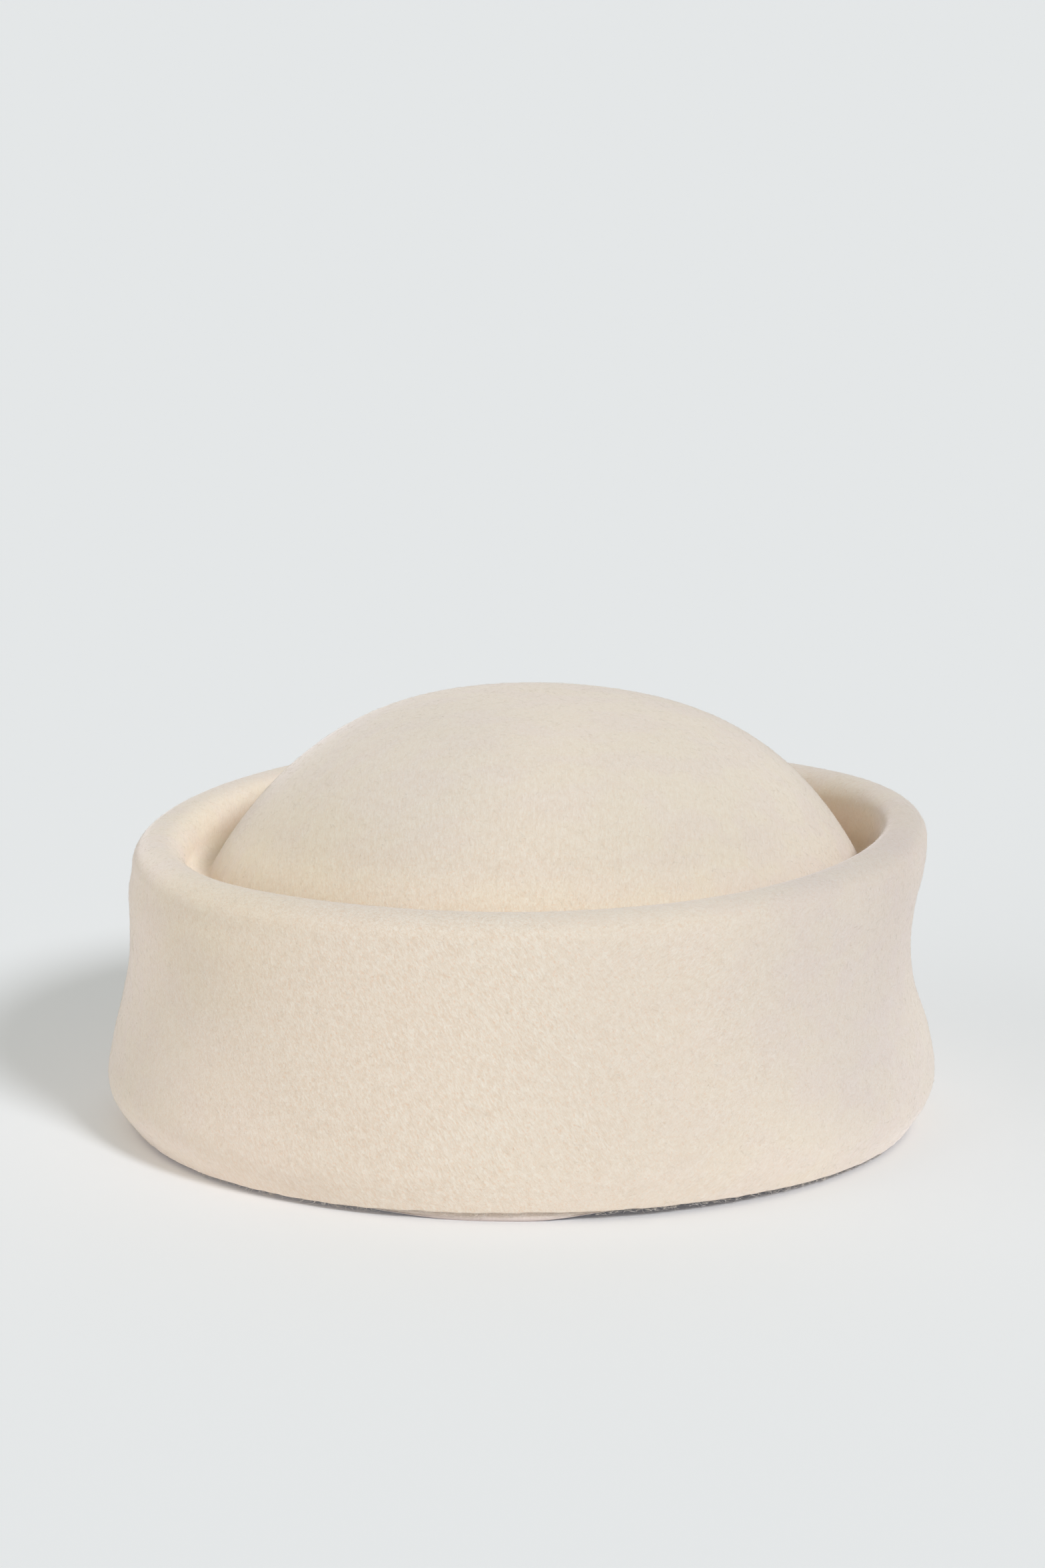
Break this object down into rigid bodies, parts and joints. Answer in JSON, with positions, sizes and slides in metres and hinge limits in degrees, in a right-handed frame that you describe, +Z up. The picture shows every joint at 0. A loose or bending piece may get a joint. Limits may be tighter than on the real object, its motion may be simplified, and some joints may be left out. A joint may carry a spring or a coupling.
{
  "type": "pillbox hat",
  "caption": "Oval pillbox hat of blocked felt with a domed crown, a narrow groove around it and a wall folded over into a round rim.",
  "frame": {"origin": "centre of the surface that the hat stands on, under the middle of its outline", "axes": "+Z up; +X along the longer axis of the oval, towards the front, where the rim is highest"},
  "size_m": [0.2044, 0.1678, 0.1059],
  "materials": {
    "felt": "matte",
    "ribbon": "matte"
  },
  "bodies": {
    "root": {"felt_body": "felt", "sweatband": "ribbon"}
  },
  "joints": []
}
